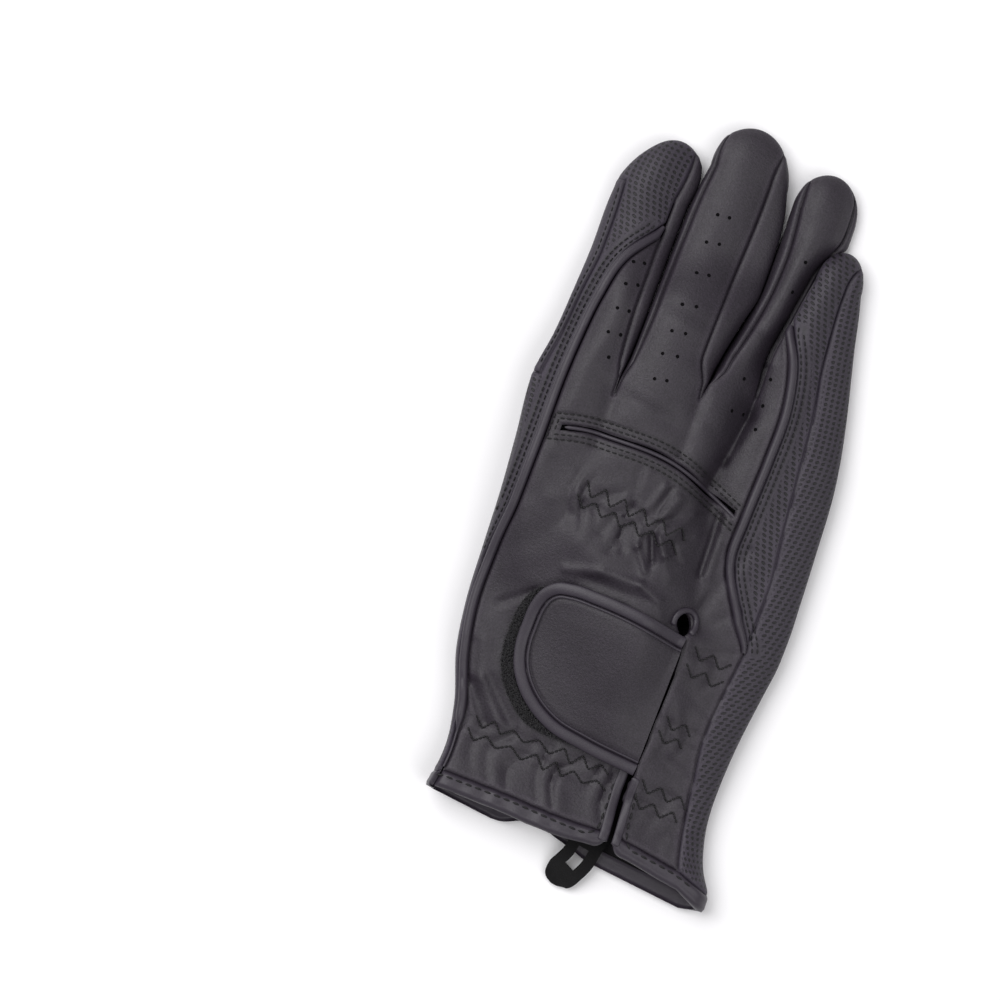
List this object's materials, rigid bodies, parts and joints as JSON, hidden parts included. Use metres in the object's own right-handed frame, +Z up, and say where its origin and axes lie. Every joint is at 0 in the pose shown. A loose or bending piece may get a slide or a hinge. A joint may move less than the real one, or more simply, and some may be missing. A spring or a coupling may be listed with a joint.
{
  "type": "horse riding glove",
  "caption": "Right-hand riding glove of perforated and embossed synthetic leather with piped seams, a knuckle vent, a wrist strap on a loop pad and a felt pull tab, lying palm down.",
  "frame": {"origin": "on the surface the glove rests on, under the middle of its plan box", "axes": "+Y from the cuff to the fingertips, +X from the thumb side to the little-finger side, +Z up off the back of the hand"},
  "size_m": [0.1112, 0.2466, 0.026],
  "materials": {
    "smooth_leather": "matte fine grain",
    "mesh_leather": "embossed mesh, matte",
    "piping_leather": "satin",
    "loop_fabric": "brushed loops",
    "felt": "pressed felt"
  },
  "bodies": {
    "root": {"back_panel": "smooth_leather", "index_cap": "mesh_leather", "little_side_panel": "mesh_leather", "palm_panel": "mesh_leather", "index_overlay": "mesh_leather", "fourchette_index_middle": "smooth_leather", "fourchette_middle_ring": "smooth_leather", "fourchette_ring_little": "smooth_leather", "thumb_back": "smooth_leather", "thumb_front": "mesh_leather", "piping_thumb_side": "piping_leather", "piping_little_side": "piping_leather", "cuff_binding": "piping_leather", "loop_patch": "loop_fabric", "wrist_strap": "smooth_leather", "strap_binding": "piping_leather", "pull_tab": "felt"}
  },
  "joints": []
}
